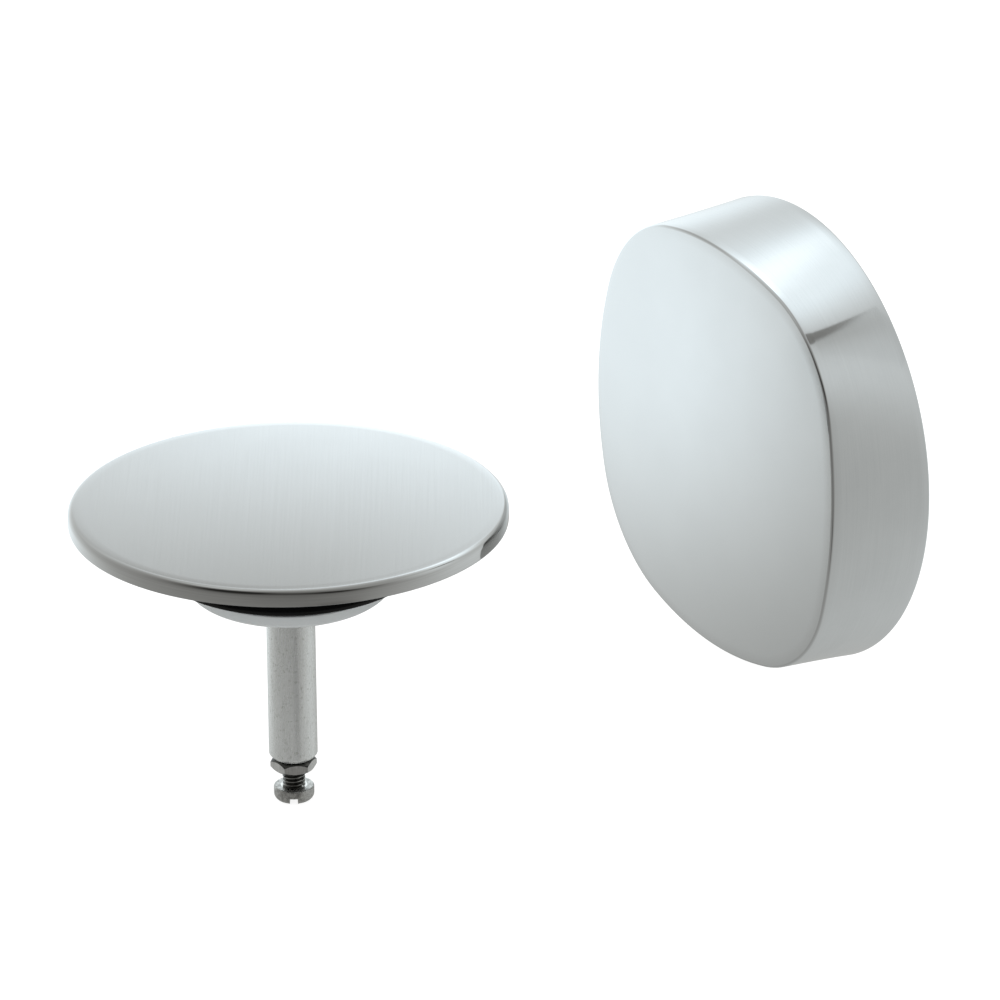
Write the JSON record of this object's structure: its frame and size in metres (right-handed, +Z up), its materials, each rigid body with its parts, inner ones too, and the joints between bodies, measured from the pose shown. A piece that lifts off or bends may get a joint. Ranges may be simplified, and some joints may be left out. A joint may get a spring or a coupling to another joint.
{
  "type": "bath waste trim",
  "caption": "Bath waste trim: a round plug with seal, stem and height screw, and a softly squared overflow knob that turns on a wall plate and lifts it.",
  "frame": {"origin": "centre of the mounting plate's wall face, on the knob's axis", "axes": "+Y along the knob's axis towards the wall it is fixed to, so the knob faces -Y; +Z up, along the plug's stem towards its cap; +X to the right seen from the front"},
  "size_m": [0.0836, 0.1461, 0.0886],
  "materials": {
    "knob_metal": "satin",
    "cap_metal": "fine brushed",
    "stem_metal": "matt drawn",
    "nut_steel": "plain",
    "screw_nickel": "bright nickel",
    "zinc_steel": "zinc plated",
    "spring_steel": "drawn wire",
    "brass": "machined",
    "seal_rubber": "smooth black",
    "gasket_rubber": "matt",
    "valve_plastic": "moulded light grey",
    "cap_plastic": "moulded black",
    "carrier_plastic": "moulded white",
    "plate_plastic": "moulded grey",
    "glide_plastic": "natural"
  },
  "bodies": {
    "wall_mount": {"mounting_plate": "plate_plastic", "wall_gasket": "gasket_rubber", "glide_ring": "glide_plastic", "retaining_ring": "spring_steel"},
    "knob": {"knob_shell": "knob_metal", "knob_carrier": "carrier_plastic", "drive_bush": "brass", "carrier_screw_1": "zinc_steel", "carrier_screw_2": "zinc_steel", "carrier_screw_3": "zinc_steel", "carrier_screw_4": "zinc_steel"},
    "plug": {"plug_cap": "cap_metal", "cap_carrier": "cap_plastic", "cap_insert": "brass", "seal_ring": "seal_rubber", "valve_body": "valve_plastic", "neck_o_ring": "seal_rubber", "stem_stud": "zinc_steel", "stem": "stem_metal"},
    "foot_screw": {"adjusting_screw": "screw_nickel"},
    "nut": {"lock_nut": "nut_steel"}
  },
  "joints": [
    {"name": "knob_turn", "type": "hinge", "parent": "wall_mount", "child": "knob", "pos_m": [0, -0.01, 0], "axis": [0, -1, 0], "range_deg": [0, 90]},
    {"name": "plug_lift", "type": "slide", "parent": "wall_mount", "child": "plug", "axis": [0, 0, 1], "range_m": [0, 0.012]},
    {"name": "screw_height", "type": "slide", "parent": "plug", "child": "foot_screw", "axis": [0, 0, 1], "range_m": [-0.006, 0.0023]},
    {"name": "nut_turn", "type": "hinge", "parent": "plug", "child": "nut", "pos_m": [0, -0.1086, -0.04005], "axis": [0, 0, 1], "continuous": true}
  ],
  "couplings": [
    {"joint": "plug_lift", "follows": "knob_turn", "m_per_rad": 0.0076394}
  ]
}
